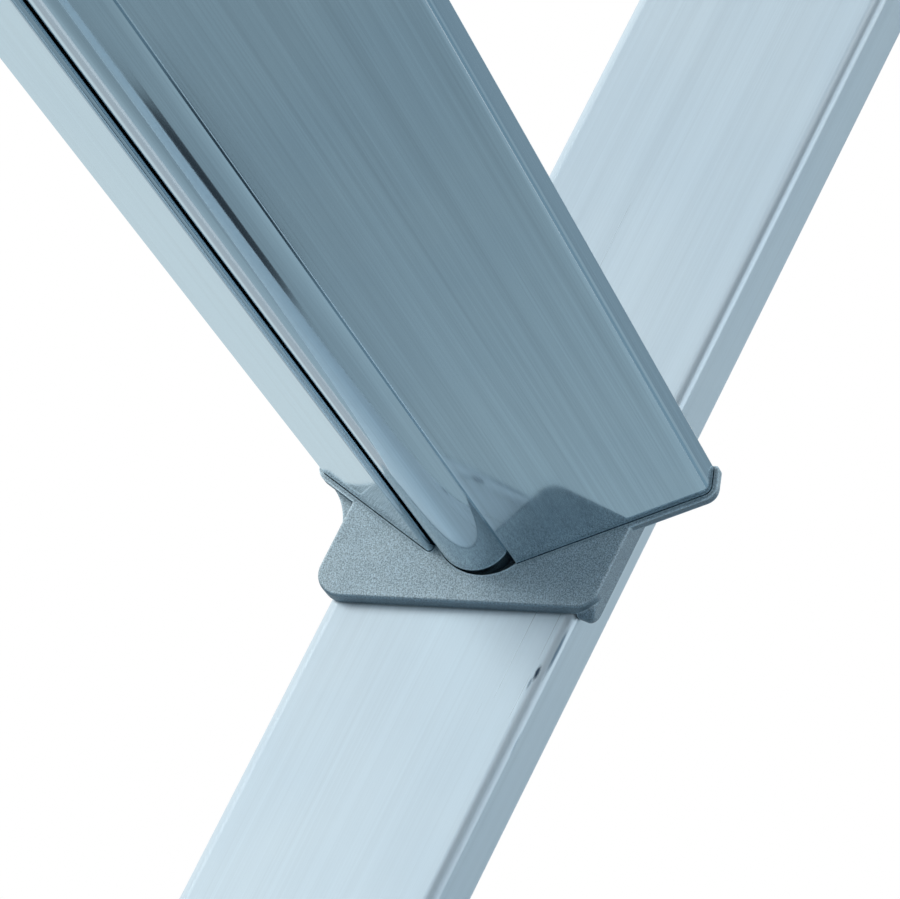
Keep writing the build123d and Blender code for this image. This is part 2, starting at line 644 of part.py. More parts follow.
# Front hinge heads: plug, cap with the hoop's socket, and a forked arm for the pivot
head_half = FRONT_DEPTH / 2 + HEAD_WALL
plug_thick = STILE_THICK - 2 * (STILE_WALL + PLUG_GAP)
plug_round = STILE_ROUND - STILE_WALL
slot_start = PIVOT_OFFSET - TONGUE_RADIUS - SLOT_GAP
for tag, side in SIDES:
    with BuildPart() as hinge_head:
        with BuildSketch(front_side(side * MIDDLE, STILE_TOP)):
            with BuildLine():
                FilletPolyline(
                    (-head_half, 0),
                    (head_half, 0),
                    (head_half, HEAD_HEIGHT),
                    (-head_half, HEAD_HEIGHT),
                    radius=(HEAD_FOOT_ROUND, HEAD_ROUND, HEAD_ROUND, HEAD_FOOT_ROUND),
                    close=True,
                )
            make_face()
            with BuildLine():
                Polyline(
                    (0, HEAD_SEAT - ARM_RADIUS),
                    (PIVOT_OFFSET, HEAD_SEAT - ARM_RADIUS),
                    (PIVOT_OFFSET, HEAD_SEAT + ARM_RADIUS),
                    (0, HEAD_HEIGHT - HEAD_ROUND),
                    close=True,
                )
            make_face()
            with Locations((PIVOT_OFFSET, HEAD_SEAT)):
                Circle(ARM_RADIUS)
        extrude(amount=HEAD_WIDTH / 2, both=True)
        fillet(hinge_head.faces().sort_by(Axis.X)[0].outer_wire().edges(), HEAD_WALL / 2)
        fillet(hinge_head.faces().sort_by(Axis.X)[-1].outer_wire().edges(), HEAD_WALL / 2)
        with BuildSketch(front_section(side * MIDDLE, STILE_TOP)):
            RectangleRounded(plug_thick, FRONT_DEPTH - 2 * (STILE_WALL + PLUG_GAP), plug_round)
        extrude(amount=-PLUG_LENGTH)
        with BuildSketch(front_section(side * MIDDLE, STILE_TOP + HEAD_HEIGHT)):
            Circle(HOOP_RADIUS + HOOP_GAP)
        extrude(amount=-HOOP_SOCKET, mode=Mode.SUBTRACT)
        with BuildSketch(front_side(side * MIDDLE, STILE_TOP)):
            with Locations((slot_start + PIVOT_OFFSET, HEAD_SEAT)):
                Rectangle(2 * PIVOT_OFFSET, 2 * HEAD_HEIGHT)
        extrude(amount=TONGUE_THICK / 2 + TONGUE_GAP, both=True, mode=Mode.SUBTRACT)
        with BuildSketch(level_side(side * MIDDLE, HINGE)):
            Circle(HINGE_PIN_RADIUS + RIVET_GAP)
        extrude(amount=HEAD_WIDTH, both=True, mode=Mode.SUBTRACT)
        with BuildSketch(Plane.YZ.offset(side * INNER)):
            with Locations(*[(point.Y, point.Z) for point in front_head_rivets]):
                Circle(RIVET_RADIUS + RIVET_GAP)
        extrude(amount=side * STILE_THICK, mode=Mode.SUBTRACT)
    save(hinge_head.part, f"hinge_head_{tag}")

# Rear heads: plug, shoulder and the tongue that turns in the fork
shoulder_half = REAR_DEPTH / 2 + SHOULDER_WALL
for tag, side in SIDES:
    with BuildPart() as rear_head:
        with BuildSketch(rear_side(side * MIDDLE, REAR_LENGTH)):
            Circle(TONGUE_RADIUS)
            with Locations((0, -SHOULDER_DROP / 2)):
                Rectangle(2 * TONGUE_RADIUS, SHOULDER_DROP)
        extrude(amount=TONGUE_THICK / 2, both=True)
        with BuildSketch(rear_section(side * MIDDLE, rear_top)):
            RectangleRounded(STILE_THICK + 2 * SHOULDER_WALL, 2 * shoulder_half, STILE_ROUND)
        extrude(amount=SHOULDER_HEIGHT, taper=SHOULDER_TAPER)
        with BuildSketch(rear_section(side * MIDDLE, rear_top)):
            RectangleRounded(plug_thick, REAR_DEPTH - 2 * (STILE_WALL + PLUG_GAP), plug_round)
        extrude(amount=-PLUG_LENGTH)
        with BuildSketch(level_side(side * MIDDLE, HINGE)):
            Circle(HINGE_PIN_RADIUS + RUN_GAP + BUSH_WALL)
        extrude(amount=TONGUE_THICK, both=True, mode=Mode.SUBTRACT)
        with BuildSketch(Plane.YZ.offset(side * INNER)):
            with Locations(*[(point.Y, point.Z) for point in rear_head_rivets]):
                Circle(RIVET_RADIUS + RIVET_GAP)
        extrude(amount=side * STILE_THICK, mode=Mode.SUBTRACT)
    save(rear_head.part, f"rear_head_{tag}")

# Hinge bushes and pins
for tag, side in SIDES:
    with BuildPart() as hinge_bush:
        with BuildSketch(level_side(side * MIDDLE, HINGE)):
            Circle(HINGE_PIN_RADIUS + RUN_GAP + BUSH_WALL)
            Circle(HINGE_PIN_RADIUS + RUN_GAP, mode=Mode.SUBTRACT)
        extrude(amount=TONGUE_THICK / 2, both=True)
    save(hinge_bush.part, f"hinge_bush_{tag}")

    with BuildPart() as hinge_pin:
        with BuildSketch(level_side(side * MIDDLE, HINGE)):
            Circle(HINGE_PIN_RADIUS)
        extrude(amount=HEAD_WIDTH / 2, both=True)
        for face in (-1, 1):
            with BuildSketch(level_side(side * MIDDLE + face * HEAD_WIDTH / 2, HINGE)):
                Circle(HINGE_PIN_HEAD)
            extrude(amount=face * HINGE_PIN_HEAD_HEIGHT, taper=PIN_HEAD_TAPER)
    save(hinge_pin.part, f"hinge_pin_{tag}")

# Hoop above the platform
hoop_foot = STILE_TOP + HEAD_HEIGHT - HOOP_SOCKET
hoop_top = (PLATFORM_HEIGHT + HOOP_ABOVE) / FRONT_SIN
with BuildPart() as hoop:
    with BuildLine(Plane(FRONT_FLOOR, (1, 0, 0), -FRONT_BACK)) as hoop_line:
        FilletPolyline(
            (-MIDDLE, hoop_foot),
            (-MIDDLE, hoop_top),
            (MIDDLE, hoop_top),
            (MIDDLE, hoop_foot),
            radius=HOOP_BEND,
        )
    with BuildSketch(front_section(-MIDDLE, hoop_foot)):
        Circle(HOOP_RADIUS)
        Circle(HOOP_RADIUS - HOOP_WALL, mode=Mode.SUBTRACT)
    sweep(path=hoop_line.line)
save(hoop.part, "hoop")

# Platform: places from the pivot, at the height of the top face
deck_origin = Vector(0, platform_pivot.Y, PLATFORM_HEIGHT)
rest = tubes["platform_rest_tube"] - deck_origin
hook_rear = rest.Y + TUBE_RADIUS + HOOK_GAP + HOOK_LIP
hook_screw = rest.Y - (HOOK_PAD + TUBE_RADIUS) / 2
deck_half = INNER - DECK_SIDE_GAP - CHEEK_THICK
hook_x = deck_half - HOOK_INSET
deck_front_foot = -DECK_FRONT + DECK_CHAMFER
deck_rear_foot = hook_rear
port_pitch = (deck_rear_foot - deck_front_foot) / DECK_SCREW_COUNT
ports = [deck_front_foot + (number + 0.5) * port_pitch for number in range(DECK_SCREW_COUNT)]
port_height = -DECK_TOP - (DECK_THICK - DECK_TOP - DECK_WALL) / 2
with BuildSketch() as deck_outline:
    with BuildLine():
        FilletPolyline(
            (-DECK_FRONT, 0),
            (-DECK_FRONT, -DECK_EDGE),
            (deck_front_foot, -DECK_THICK),
            (deck_rear_foot, -DECK_THICK),
            (deck_rear_foot + DECK_TAIL, -DECK_EDGE),
            (deck_rear_foot + DECK_TAIL, 0),
            radius=DECK_ROUND,
            close=True,
        )
    make_face()

# Deck: hollow chambers between screw ports
deck_groove_count = int((DECK_FRONT + deck_rear_foot) / DECK_GROOVE_PITCH)
chamber_height = DECK_THICK - DECK_TOP - DECK_WALL
chamber_width = port_pitch / 2 - DECK_PORT_RADIUS - DECK_WALL / 2
with BuildPart() as platform_deck:
    with BuildSketch(level_side(-deck_half, deck_origin)):
        add(deck_outline.sketch)
        for port in ports:
            for end in (-1, 1):
                with Locations((port + end * (DECK_PORT_RADIUS + chamber_width / 2), port_height)):
                    Rectangle(chamber_width, chamber_height, mode=Mode.SUBTRACT)
            with Locations((port, port_height)):
                Circle(SCREW_RADIUS + RIVET_GAP, mode=Mode.SUBTRACT)
        with Locations(((deck_rear_foot - DECK_FRONT) / 2, 0)):
            with GridLocations(DECK_GROOVE_PITCH, 0, deck_groove_count, 1):
                Rectangle(GROOVE_WIDTH, 2 * GROOVE_DEPTH, mode=Mode.SUBTRACT)
    extrude(amount=2 * deck_half)
    with BuildSketch(Plane.XY.offset(PLATFORM_HEIGHT - DECK_THICK)):
        with Locations((0, deck_origin.Y + hook_screw)):
            with GridLocations(2 * hook_x, 0, 2, 1):
                Circle(SCREW_RADIUS + RIVET_GAP)
    extrude(amount=DECK_THICK / 2, mode=Mode.SUBTRACT)
save(platform_deck.part, "platform_deck")

# Cheeks on the deck's ends, with the pivot boss
bush_outer = PLATFORM_PIN_RADIUS + RUN_GAP + BUSH_WALL
for tag, side in SIDES:
    with BuildPart() as cheek:
        with BuildSketch(level_side(side * deck_half, deck_origin)):
            add(deck_outline.sketch)
            offset(amount=CHEEK_RIM)
            with BuildLine():
                Polyline(
                    (-CHEEK_BOSS, -CHEEK_PIVOT_DROP),
                    (CHEEK_BOSS, -CHEEK_PIVOT_DROP),
                    (CHEEK_GUSSET_REAR, -DECK_THICK),
                    (-CHEEK_GUSSET_FRONT, -DECK_EDGE),
                    close=True,
                )
            make_face()
            with Locations((0, -CHEEK_PIVOT_DROP)):
                Circle(CHEEK_BOSS)
                Circle(bush_outer, mode=Mode.SUBTRACT)
            with Locations(*[(port, port_height) for port in ports]):
                Circle(SCREW_RADIUS + RIVET_GAP, mode=Mode.SUBTRACT)
        extrude(amount=side * CHEEK_THICK)
    save(cheek.part, f"platform_cheek_{tag}")

# Platform bushes and pins
cheek_outer = deck_half + CHEEK_THICK
pin_tail = deck_half - PLATFORM_PIN_TAIL_HEIGHT
for tag, side in SIDES:
    with BuildPart() as platform_bush:
        with BuildSketch(level_side(side * deck_half, platform_pivot)):
            Circle(bush_outer)
        extrude(amount=side * CHEEK_THICK)
        with BuildSketch(level_side(side * cheek_outer, platform_pivot)):
            Circle(BUSH_COLLAR)
        extrude(amount=side * (INNER - cheek_outer - COLLAR_GAP))
        with BuildSketch(level_side(side * deck_half, platform_pivot)):
            Circle(PLATFORM_PIN_RADIUS + RUN_GAP)
        extrude(amount=side * STILE_THICK, mode=Mode.SUBTRACT)
    save(platform_bush.part, f"platform_bush_{tag}")

    with BuildPart() as platform_pin:
        with BuildSketch(level_side(side * pin_tail, platform_pivot)):
            Circle(PLATFORM_PIN_RADIUS)
        extrude(amount=side * (OUTER - pin_tail))
        with BuildSketch(level_side(side * (deck_half - RUN_GAP), platform_pivot)):
            Circle(PLATFORM_PIN_TAIL)
        extrude(amount=-side * PLATFORM_PIN_TAIL_HEIGHT)
        with BuildSketch(level_side(side * OUTER, platform_pivot)):
            Circle(HINGE_PIN_HEAD)
        extrude(amount=side * HINGE_PIN_HEAD_HEIGHT, taper=PIN_HEAD_TAPER)
    save(platform_pin.part, f"platform_pin_{tag}")

# Hooks: a pad under the deck, a saddle over the rest tube and a lip behind it
saddle_radius = TUBE_RADIUS + HOOK_GAP
detent = rest.Z + saddle_radius * cos(radians(HOOK_DETENT))
hook_low = rest.Z - HOOK_DROP
for tag, side in SIDES:
    with BuildPart() as hook:
        with BuildSketch(level_side(side * hook_x, deck_origin)):
            Polygon(
                (rest.Y - HOOK_PAD, -DECK_THICK),
                (rest.Y - HOOK_PAD, detent),
                (rest.Y, detent),
                (rest.Y, hook_low),
                (hook_rear, hook_low),
                (hook_rear, -DECK_THICK),
                align=None,
            )
            with Locations((rest.Y, rest.Z)):
                Circle(saddle_radius, mode=Mode.SUBTRACT)
                Rectangle(saddle_radius, HOOK_DROP, align=(Align.MIN, Align.MAX), mode=Mode.SUBTRACT)
        extrude(amount=HOOK_WIDTH / 2, both=True)
        with BuildSketch(Plane.XY.offset(PLATFORM_HEIGHT + detent)):
            with Locations((side * hook_x, deck_origin.Y + hook_screw)):
                Circle(SCREW_RADIUS + RIVET_GAP)
        extrude(amount=DECK_THICK, mode=Mode.SUBTRACT)
    save(hook.part, f"platform_hook_{tag}")

# Screws of the cheeks and of the hooks
with BuildPart() as platform_screws:
    for tag, side in SIDES:
        for port in ports:
            point = deck_origin + Vector(0, port, port_height)
            with BuildSketch(level_side(side * cheek_outer, point)):
                Circle(SCREW_RADIUS)
            extrude(amount=-side * SCREW_LENGTH)
            with BuildSketch(level_side(side * cheek_outer, point)):
                Circle(SCREW_HEAD)
            extrude(amount=side * SCREW_HEAD_HEIGHT, taper=SCREW_HEAD_TAPER)
        head = Plane((side * hook_x, deck_origin.Y + hook_screw, PLATFORM_HEIGHT + detent))
        with BuildSketch(head):
            Circle(SCREW_RADIUS)
        extrude(amount=HOOK_SCREW_LENGTH)
        with BuildSketch(head):
            Circle(SCREW_HEAD)
        extrude(amount=-SCREW_HEAD_HEIGHT, taper=SCREW_HEAD_TAPER)
save(platform_screws.part, "platform_screws")
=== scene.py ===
import math

import bpy
from mathutils import Matrix, Vector

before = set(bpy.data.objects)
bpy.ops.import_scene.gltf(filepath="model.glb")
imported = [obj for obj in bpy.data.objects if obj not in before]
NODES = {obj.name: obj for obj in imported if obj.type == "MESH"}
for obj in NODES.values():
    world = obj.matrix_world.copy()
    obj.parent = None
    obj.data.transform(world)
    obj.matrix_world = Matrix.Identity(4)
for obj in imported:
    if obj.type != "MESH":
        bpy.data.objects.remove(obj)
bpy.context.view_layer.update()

scene = bpy.context.scene

# Stance of the ladder, as in the solids, in metres and radians
FRONT_LEAN = math.radians(71.0)
REAR_LEAN = math.radians(68.0)
FRONT_TILT = math.pi / 2 - FRONT_LEAN
REAR_TILT = REAR_LEAN - math.pi / 2
RISE = 0.230
INNER = 0.210  # inner faces of the stiles
SPREAD_HALF = 0.533126  # front stiles' middle line meets the floor this far from the origin
STILE_MIDDLE = -SPREAD_HALF * math.sin(FRONT_LEAN)  # that line's Y in coordinates turned by FRONT_TILT

# The joint that the camera looks at: middle of a tread's top, at the climber's left stile
JOINT_LEVEL = 2
JOINT_HEIGHT = RISE * JOINT_LEVEL
JOINT = Vector((-INNER, -SPREAD_HALF + JOINT_HEIGHT / math.tan(FRONT_LEAN), JOINT_HEIGHT))

# Base colours
WHITE = (1.0, 1.0, 1.0)
BLACK = (0.0, 0.0, 0.0)
ALUMINIUM = (0.60, 0.71, 0.775)
TREAD_METAL = (0.57, 0.69, 0.76)
CAST_METAL = (0.43, 0.53, 0.575)
RIVET_METAL = (0.62, 0.68, 0.72)
PLATED_STEEL = (0.56, 0.59, 0.61)
DARK_PLASTIC = (0.055, 0.06, 0.066)
PALE_PLASTIC = (0.62, 0.62, 0.60)
RUBBER = (0.032, 0.032, 0.034)

# Stains, clouds and painted shade, each a colour to multiply by
STAIN = (0.94, 0.96, 0.98)
CAST_CLOUD = (0.86, 0.88, 0.9)
CAST_UNDERSIDE_SHADE = (0.34, 0.41, 0.46)
CAST_RIM_SHADE = (0.36, 0.43, 0.49)
CAST_REAR_SHADE = (0.86, 0.89, 0.92)
SHADE_TINT = (0.8, 0.93, 1.0)

# How metallic the skins are
SATIN = 0.5  # stiles and tubes
GRANULAR = 0.6  # castings
BRIGHT = 1.0  # treads, steel and rivets

# Least and greatest roughness
STILE_ROUGH = (0.27, 0.33)
TREAD_ROUGH = (0.06, 0.11)
TUBE_ROUGH = (0.22, 0.32)
HOOP_ROUGH = (0.25, 0.29)
CAST_ROUGH = (0.34, 0.5)
STEEL_ROUGH = (0.25, 0.4)
PLASTIC_ROUGH = (0.42, 0.56)
BUSH_ROUGH = (0.35, 0.45)
RUBBER_ROUGH = (0.62, 0.8)
FLOOR_ROUGH = 0.8

# Noise cells in a metre
FINE = 2600.0  # across the lines of an extrusion
ALONG = 9.0  # along them
BROADER = 8  # the streaks are this much wider than the lines
LONGER = 3  # and this much longer
EXTRUDED_STAINS = 14.0
HOOP_STAINS = 22.0
CAST_GRAIN = 3700.0
CAST_CLOUDS = 120.0
MOULDED_CLOUDS = 30.0
PLASTIC_GRAIN = 1500.0
BUSH_GRAIN = 900.0
RUBBER_GRAIN = 800.0
STEEL_MARKS = 900.0
FLOOR_SPECKLE = 6.0

# Heights of the bumps, in metres
LINE_DEPTH = 0.00004
CAST_DEPTH = 0.00014
MOULDED_DEPTH = 0.0001
STEEL_DEPTH = 0.00008

# How far painted shade and the bright edges reach, in metres
SEAM_SHADE_REACH = 0.0008  # painted shade where pieces meet
CREVICE_SHADE_REACH = 0.0015  # the same painted shade in the castings' crevices
EDGE_WEAR_AND_HIGHLIGHT_REACH = 0.0008  # bright edges, partly wear and partly a painted highlight
RIM_FROM = INNER - 0.0048  # painted shade darkens the rim up to this distance from the ladder's middle plane
RIM_TO = INNER - 0.0041
REAR_FROM = STILE_MIDDLE - 0.004  # painted shade darkens the bracket's rear half from here
REAR_TO = STILE_MIDDLE + 0.018


def mesh_material(name, metallic=0.0):
    """Material with an output and one Principled shader; returns it with its tree and shader."""
    mat = bpy.data.materials.new(name)
    mat.use_nodes = True
    tree = mat.node_tree
    tree.nodes.clear()
    out = tree.nodes.new("ShaderNodeOutputMaterial")
    shader = tree.nodes.new("ShaderNodeBsdfPrincipled")
    shader.inputs["Metallic"].default_value = metallic
    tree.links.new(shader.outputs[0], out.inputs["Surface"])
    return mat, tree, shader


def coords(tree, tilt=0.0, stretch=(1, 1, 1)):
    """Object coordinates turned about X by tilt, then stretched."""
    tex = tree.nodes.new("ShaderNodeTexCoord")
    turn = tree.nodes.new("ShaderNodeMapping")
    turn.inputs["Rotation"].default_value = (tilt, 0, 0)
    size = tree.nodes.new("ShaderNodeMapping")
    size.inputs["Scale"].default_value = stretch
    tree.links.new(tex.outputs["Object"], turn.inputs["Vector"])
    tree.links.new(turn.outputs[0], size.inputs["Vector"])
    return size.outputs[0]


def part_of(tree, vector, axis):
    """One coordinate of a vector socket."""
    split = tree.nodes.new("ShaderNodeSeparateXYZ")
    tree.links.new(vector, split.inputs[0])
    return split.outputs[axis]


def noise(tree, vector, scale, detail, rough):
    """Noise texture on a vector; returns its factor socket."""
    node = tree.nodes.new("ShaderNodeTexNoise")
    node.inputs["Scale"].default_value = scale
    node.inputs["Detail"].default_value = detail
    node.inputs["Roughness"].default_value = rough
    tree.links.new(vector, node.inputs["Vector"])
    return node.outputs["Fac"]


def ramp(tree, fac, stops):
    """Colour ramp over a factor, stops as (place, colour)."""
    node = tree.nodes.new("ShaderNodeValToRGB")
    elements = node.color_ramp.elements
    while len(elements) < len(stops):
        elements.new(0.5)
    for element, (place, colour) in zip(elements, stops):
        element.position = place
        element.color = (*colour, 1.0)
    tree.links.new(fac, node.inputs[0])
    return node.outputs[0]


def remap(tree, fac, low, high, start=0.3, end=0.7):
    """Factor mapped to a range of values; the plain start and end suit a noise."""
    node = tree.nodes.new("ShaderNodeMapRange")
    node.inputs["From Min"].default_value = start
    node.inputs["From Max"].default_value = end
    node.inputs["To Min"].default_value = low
    node.inputs["To Max"].default_value = high
    tree.links.new(fac, node.inputs["Value"])
    return node.outputs[0]


def blend(tree, first, second, how="MULTIPLY"):
    """Two colour sockets multiplied or added."""
    node = tree.nodes.new("ShaderNodeMix")
    node.data_type = "RGBA"
    node.blend_type = how
    node.inputs["Factor"].default_value = 1.0
    tree.links.new(first, node.inputs["A"])
    tree.links.new(second, node.inputs["B"])
    return node.outputs["Result"]


def bump(tree, shader, height, strength, depth):
    """Bump on a shader, from a height socket."""
    node = tree.nodes.new("ShaderNodeBump")
    node.inputs["Strength"].default_value = strength
    node.inputs["Distance"].default_value = depth
    tree.links.new(height, node.inputs["Height"])
    tree.links.new(node.outputs[0], shader.inputs["Normal"])


def tint(colour, by):
    """Colour scaled by a number."""
    return tuple(channel * by for channel in colour)


def contact_shade(tree, reach, tone):
    """Painted shade where a surface comes close to a neighbour, dark where tone is low; a colour to
    multiply by.
    """
    node = tree.nodes.new("ShaderNodeAmbientOcclusion")
    node.samples = 8
    node.inputs["Distance"].default_value = reach
    return ramp(tree, node.outputs["AO"], [(0.35, tint(SHADE_TINT, tone)), (0.9, WHITE)])


def worn_and_highlit_edge(tree):
    """Factor that is 1 along a piece's edges and 0 on its faces, for wear and a painted highlight."""
    bevel = tree.nodes.new("ShaderNodeBevel")
    bevel.samples = 4
    bevel.inputs["Radius"].default_value = EDGE_WEAR_AND_HIGHLIGHT_REACH
    facing = tree.nodes.new("ShaderNodeNewGeometry")
    turned = tree.nodes.new("ShaderNodeVectorMath")
    turned.operation = "DOT_PRODUCT"
    tree.links.new(bevel.outputs[0], turned.inputs[0])
    tree.links.new(facing.outputs["Normal"], turned.inputs[1])
    return remap(tree, turned.outputs["Value"], 1.0, 0.0, 0.86, 0.985)


def dark_mark(tree, colour, place, tilt, size, dark):
    """Small dark mark at a place on a stile, size as half lengths along X, across and along it."""
    tex = tree.nodes.new("ShaderNodeTexCoord")
    move = tree.nodes.new("ShaderNodeMapping")
    move.inputs["Location"].default_value = tuple(-v for v in place)
    turn = tree.nodes.new("ShaderNodeMapping")
    turn.inputs["Rotation"].default_value = (tilt, 0, 0)
    scale = tree.nodes.new("ShaderNodeMapping")
    scale.inputs["Scale"].default_value = tuple(1 / v for v in size)
    ragged = tree.nodes.new("ShaderNodeTexNoise")
    ragged.inputs["Scale"].default_value = 3.0
    wobble = tree.nodes.new("ShaderNodeVectorMath")
    wobble.operation = "ADD"
    length = tree.nodes.new("ShaderNodeVectorMath")
    length.operation = "LENGTH"
    tree.links.new(tex.outputs["Object"], move.inputs["Vector"])
    tree.links.new(move.outputs[0], turn.inputs["Vector"])
    tree.links.new(turn.outputs[0], scale.inputs["Vector"])
    tree.links.new(scale.outputs[0], ragged.inputs["Vector"])
    tree.links.new(scale.outputs[0], wobble.inputs[0])
    tree.links.new(ragged.outputs["Color"], wobble.inputs[1])
    tree.links.new(wobble.outputs[0], length.inputs[0])
    edge = remap(tree, length.outputs["Value"], 0, 1, 0.7, 1.5)
    return blend(tree, colour, ramp(tree, edge, [(0.0, dark), (1.0, WHITE)]))


def extruded(name, colour, tilt, along, rough, metallic, streak, relief, seam_shade=0.6, dark_marks=()):
    """Extruded aluminium: fine lines and broader streaks along its length, faint stains.

    streak is how far the lines' tone swings, relief how deep they look, seam how pale the painted
    shade at seams is.
    """
    mat, tree, shader = mesh_material(name, metallic)
    fine = tuple(ALONG if axis == along else FINE for axis in "XYZ")
    broad = tuple(ALONG / LONGER if axis == along else FINE / BROADER for axis in "XYZ")
    lines = noise(tree, coords(tree, tilt, fine), 1.0, 4.0, 0.65)
    bands = noise(tree, coords(tree, tilt, broad), 1.0, 5.0, 0.7)
    stains = noise(tree, coords(tree, tilt), EXTRUDED_STAINS, 4.0, 0.6)
    base = ramp(tree, lines, [(0.3, tint(colour, 1 - streak)), (0.7, tint(colour, 1 + streak))])
    broader = ramp(tree, bands, [(0.3, tint(WHITE, 1 - 2 * streak)), (0.6, WHITE)])
    dull = ramp(tree, stains, [(0.35, STAIN), (0.65, WHITE)])
    surface = blend(tree, blend(tree, base, broader), dull)
    # painted shade where the piece comes close to a neighbour
    surface = blend(tree, surface, contact_shade(tree, SEAM_SHADE_REACH, seam_shade))
    for place, size, dark in dark_marks:
        surface = dark_mark(tree, surface, place, tilt, size, dark)
    tree.links.new(surface, shader.inputs["Base Color"])
    tree.links.new(remap(tree, bands, *rough), shader.inputs["Roughness"])
    bump(tree, shader, lines, relief, LINE_DEPTH)
    return mat


def drawn(name, colour, rough):
    """Drawn and bent tube: satin, with faint stains and no lines."""
    mat, tree, shader = mesh_material(name, SATIN)
    stains = noise(tree, coords(tree), HOOP_STAINS, 3.0, 0.55)
    base = ramp(tree, stains, [(0.3, tint(colour, 0.97)), (0.7, tint(colour, 1.02))])
    tree.links.new(base, shader.inputs["Base Color"])
    tree.links.new(remap(tree, stains, *rough), shader.inputs["Roughness"])
    return mat


def cast(name, colour, rough):
    """Die-cast aluminium: a granular grey skin with edges brightened by wear and a painted highlight.

    Painted shade makes it darker underneath, on the rim, on the rear half and in crevices.
    """
    mat, tree, shader = mesh_material(name, GRANULAR)
    grain = noise(tree, coords(tree), CAST_GRAIN, 3.0, 0.75)
    cloud = noise(tree, coords(tree), CAST_CLOUDS, 4.0, 0.65)
    base = ramp(tree, grain, [(0.4, tint(colour, 0.58)), (0.5, colour), (0.6, tint(colour, 1.45))])
    surface = blend(tree, base, ramp(tree, cloud, [(0.3, CAST_CLOUD), (0.7, WHITE)]))

    tex = tree.nodes.new("ShaderNodeTexCoord")
    # painted shade: the skin is darker where it faces down
    underside_shade = remap(tree, part_of(tree, tex.outputs["Normal"], "Z"), 0.0, 1.0, -0.5, 0.06)
    surface = blend(tree, surface, ramp(tree, underside_shade, [(0.0, CAST_UNDERSIDE_SHADE), (1.0, WHITE)]))

    # bright edges, partly wear and partly a painted highlight
    wear_and_highlight = ramp(tree, worn_and_highlit_edge(tree), [(0.0, BLACK), (1.0, tint(colour, 0.8))])
    surface = blend(tree, surface, wear_and_highlight, "ADD")

    # painted shade on the rim, set by the distance from the ladder's middle plane
    aside = tree.nodes.new("ShaderNodeMath")
    aside.operation = "ABSOLUTE"
    tree.links.new(part_of(tree, tex.outputs["Object"], "X"), aside.inputs[0])
    rim = remap(tree, aside.outputs[0], 0.0, 1.0, RIM_FROM, RIM_TO)
    surface = blend(tree, surface, ramp(tree, rim, [(0.0, CAST_RIM_SHADE), (1.0, WHITE)]))

    # painted shade on the bracket's rear half, which lies under the tread
    across = part_of(tree, coords(tree, FRONT_TILT), "Y")
    rear = remap(tree, across, 0.0, 1.0, REAR_FROM, REAR_TO)
    surface = blend(tree, surface, ramp(tree, rear, [(0.0, WHITE), (1.0, CAST_REAR_SHADE)]))

    # painted shade in the castings' crevices
    surface = blend(tree, surface, contact_shade(tree, CREVICE_SHADE_REACH, 0.3))
    tree.links.new(surface, shader.inputs["Base Color"])
    tree.links.new(remap(tree, grain, *rough), shader.inputs["Roughness"])
    bump(tree, shader, grain, 0.6, CAST_DEPTH)
    return mat


def moulded(name, colour, rough, grain_scale, strength):
    """Moulded plastic or rubber with a fine matt texture."""
    mat, tree, shader = mesh_material(name)
    grain = noise(tree, coords(tree), grain_scale, 2.0, 0.6)
    cloud = noise(tree, coords(tree), MOULDED_CLOUDS, 3.0, 0.6)
    base = ramp(tree, cloud, [(0.3, tint(colour, 0.85)), (0.7, tint(colour, 1.15))])
    tree.links.new(base, shader.inputs["Base Color"])
    tree.links.new(remap(tree, grain, *rough), shader.inputs["Roughness"])
    bump(tree, shader, grain, strength, MOULDED_DEPTH)
    return mat


def steel(name, colour):
    """Plated steel or bright rivet metal with faint turning marks."""
    mat, tree, shader = mesh_material(name, BRIGHT)
    marks = noise(tree, coords(tree), STEEL_MARKS, 3.0, 0.6)
    base = ramp(tree, marks, [(0.3, tint(colour, 0.9)), (0.7, tint(colour, 1.06))])
    tree.links.new(base, shader.inputs["Base Color"])
    tree.links.new(remap(tree, marks, *STEEL_ROUGH), shader.inputs["Roughness"])
    bump(tree, shader, marks, 0.12, STEEL_DEPTH)
    return mat


def on_stile(inward, across, along):
    """Point of the left front stile, in metres from the joint: into it, across it and along it."""
    lean = Vector((0.0, math.cos(FRONT_LEAN), math.sin(FRONT_LEAN)))
    back = Vector((0.0, math.sin(FRONT_LEAN), -math.cos(FRONT_LEAN)))
    return JOINT + Vector((-inward, 0.0, 0.0)) + back * across + lean * along


# Small marks on that stile: place, half lengths (along X, across, along) and darkness
STILE_DARK_MARKS = (
    (on_stile(0.0, 0.0231, -0.0382), (0.0014, 0.00035, 0.0015), (0.05, 0.08, 0.12)),
    (on_stile(0.0, 0.0226, -0.0409), (0.0012, 0.00022, 0.0012), (0.4, 0.45, 0.5)),
    (on_stile(0.0009, 0.0245, -0.0305), (0.0008, 0.00022, 0.0050), (0.25, 0.32, 0.38)),
    (on_stile(0.0018, 0.0250, -0.0525), (0.0002, 0.0010, 0.0022), (0.6, 0.66, 0.72)),
)
